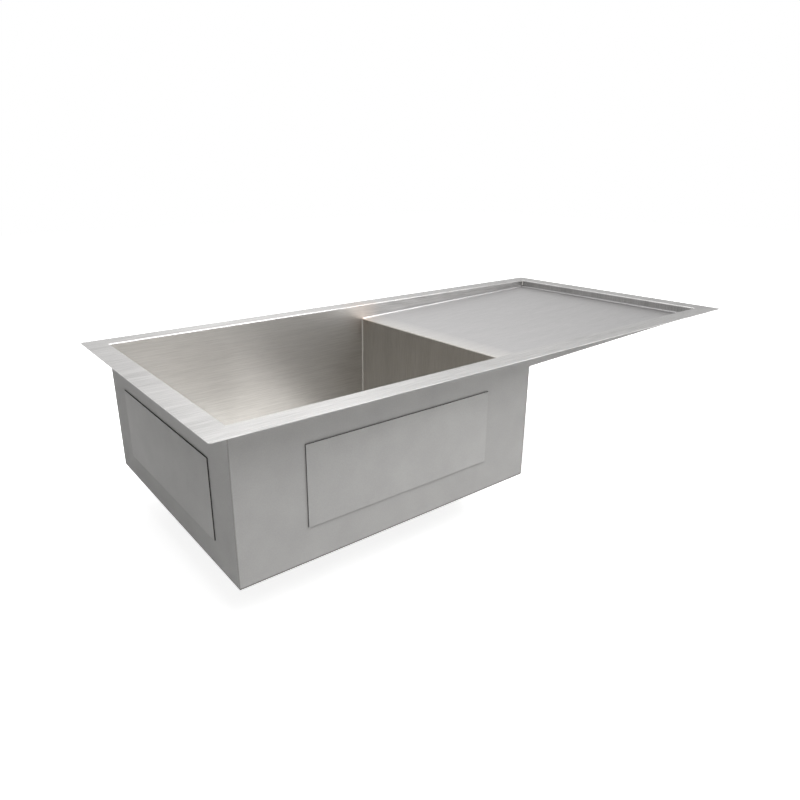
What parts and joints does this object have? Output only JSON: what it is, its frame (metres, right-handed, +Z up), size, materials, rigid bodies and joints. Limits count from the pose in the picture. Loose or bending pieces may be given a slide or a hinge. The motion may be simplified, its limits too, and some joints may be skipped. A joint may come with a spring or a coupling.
{
  "type": "undermount kitchen sink",
  "caption": "Undermount stainless kitchen sink with a deep square-cornered bowl, a sunken sloping drainboard beside it and a lift-out basket waste.",
  "frame": {"origin": "centre of the rim's flat top face, in the plane that meets the underside of the worktop", "axes": "+X to the right along the length, from the bowl to the drainboard, +Y to the back, +Z up out of the bowl"},
  "size_m": [1.06, 0.5, 0.2875],
  "materials": {
    "brushed_stainless": "brushed along the sheet, outside coated with a grey undercoat",
    "pad_rubber": "matte, under the same grey undercoat",
    "polished_stainless": "polished",
    "seal_rubber": "matte black",
    "friction_board": "pressed fibre board",
    "cast_zinc": "as-cast zinc",
    "nylon": "moulded, matte"
  },
  "bodies": {
    "sink": {"front_side_panel": "brushed_stainless", "back_side_panel": "brushed_stainless", "left_end_panel": "brushed_stainless", "right_end_panel": "brushed_stainless", "divider_wall": "brushed_stainless", "bowl_floor": "brushed_stainless", "drainboard": "brushed_stainless", "pad_front": "pad_rubber", "pad_back": "pad_rubber", "pad_left": "pad_rubber", "pad_divider": "pad_rubber", "floor_pad_left": "pad_rubber", "floor_pad_right": "pad_rubber", "floor_pad_front": "pad_rubber", "floor_pad_back": "pad_rubber", "board_pad": "pad_rubber", "strainer_body": "polished_stainless", "flange_gasket": "seal_rubber", "lower_washer": "seal_rubber", "friction_ring": "friction_board", "locknut": "cast_zinc", "outlet_spider": "polished_stainless"},
    "basket": {"basket_cup": "polished_stainless", "basket_post": "polished_stainless", "stopper_seal": "seal_rubber", "seal_washer": "polished_stainless", "seal_nut": "polished_stainless", "post_catch": "nylon"}
  },
  "joints": [
    {"name": "basket_lift", "type": "slide", "parent": "sink", "child": "basket", "axis": [0, 0, 1], "range_m": [0, 0.3]}
  ]
}
